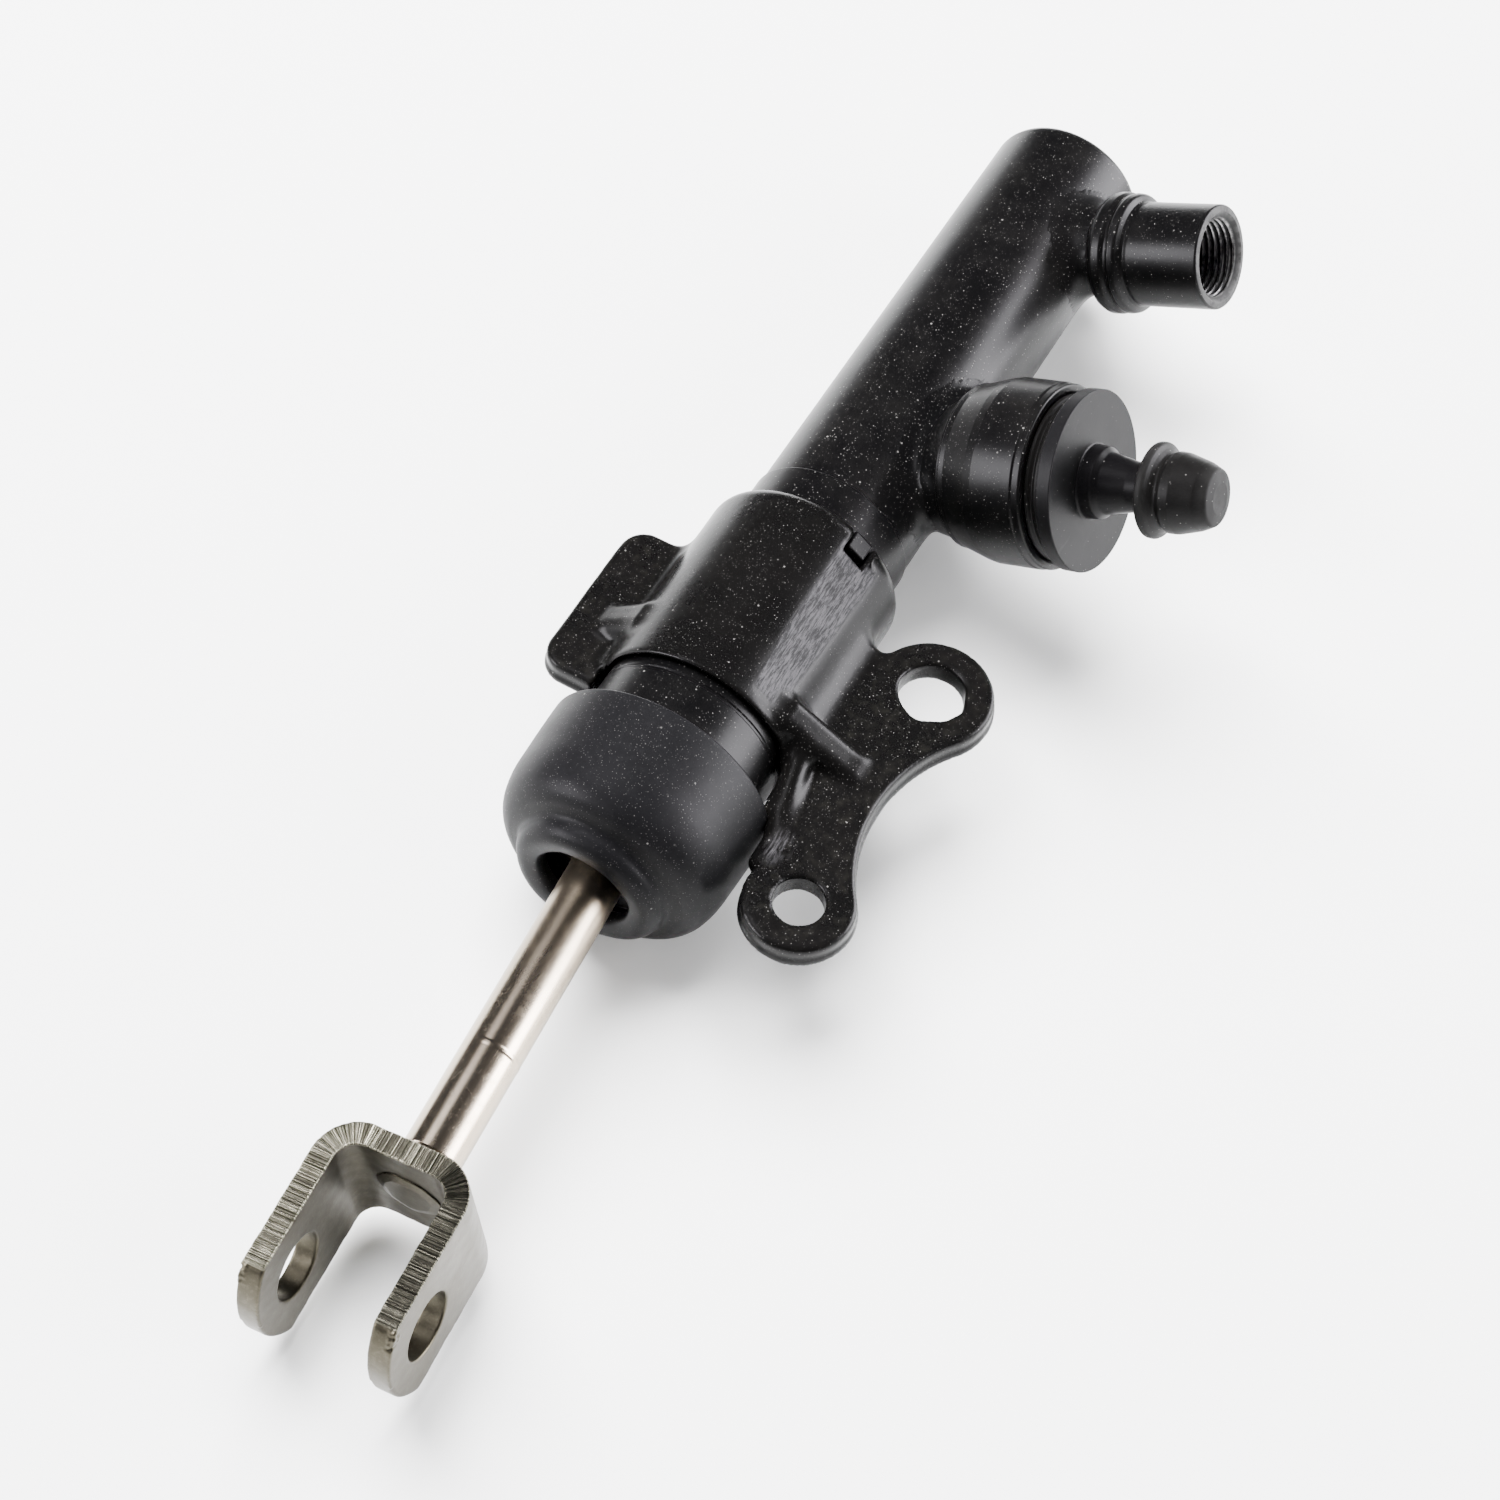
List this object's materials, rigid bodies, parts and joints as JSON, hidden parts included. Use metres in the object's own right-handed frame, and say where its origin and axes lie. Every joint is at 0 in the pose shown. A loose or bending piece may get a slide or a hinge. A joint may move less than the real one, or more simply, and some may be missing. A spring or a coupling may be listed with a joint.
{
  "type": "brake master cylinder",
  "caption": "Tubular hydraulic master cylinder: flanged housing, rubber boot, threaded outlet, capped inlet nozzle, sprung piston and a pushrod ending in a clevis.",
  "frame": {"origin": "centre of the smaller flange hole, on the mounting (under) face of the flange plate", "axes": "+Y along the cylinder towards its closed end, +Z out of the top of the flange plate, -X from the flange holes to the cylinder, whose axis lies in the mounting plane"},
  "size_m": [0.0736, 0.2179, 0.0426],
  "materials": {
    "black_paint": "gloss",
    "black_casting": "semi-gloss",
    "boot_rubber": "matt",
    "seal_rubber": "matt",
    "nozzle_plastic": "satin",
    "plated_steel": "plated",
    "bare_steel": "ground",
    "aluminium": "turned"
  },
  "bodies": {
    "cylinder": {"cylinder_tube": "black_paint", "mount_casting": "black_casting", "locating_key": "black_paint", "end_sleeve": "black_paint", "dust_boot": "boot_rubber", "outlet_boss": "black_paint", "inlet_boss": "black_paint", "inlet_grommet": "seal_rubber", "inlet_nozzle": "nozzle_plastic", "stop_washer": "bare_steel", "circlip": "bare_steel", "return_spring": "bare_steel"},
    "spring_seat": {"spring_retainer": "bare_steel"},
    "piston": {"piston": "aluminium", "secondary_cup": "seal_rubber", "cup_washer": "bare_steel", "primary_cup": "seal_rubber"},
    "pushrod": {"pushrod": "plated_steel", "clevis": "plated_steel"},
    "nozzle_cap": {"nozzle_cap": "seal_rubber"}
  },
  "joints": [
    {"name": "stroke", "type": "slide", "parent": "cylinder", "child": "spring_seat", "axis": [0, 1, 0], "range_m": [0, 0.018], "deforming": ["return_spring"]},
    {"name": "rod_spin", "type": "hinge", "parent": "spring_seat", "child": "piston", "pos_m": [-0.026, 0.0023, 0], "axis": [0, 1, 0], "continuous": true},
    {"name": "rod_tilt", "type": "hinge", "parent": "piston", "child": "pushrod", "pos_m": [-0.026, 0.0023, 0], "axis": [0.7314, 0, 0.682], "range_deg": [-8.6, 0]},
    {"name": "cap_pull", "type": "slide", "parent": "cylinder", "child": "nozzle_cap", "axis": [0.9135, 0, 0.4067], "range_m": [0, 0.012]}
  ]
}
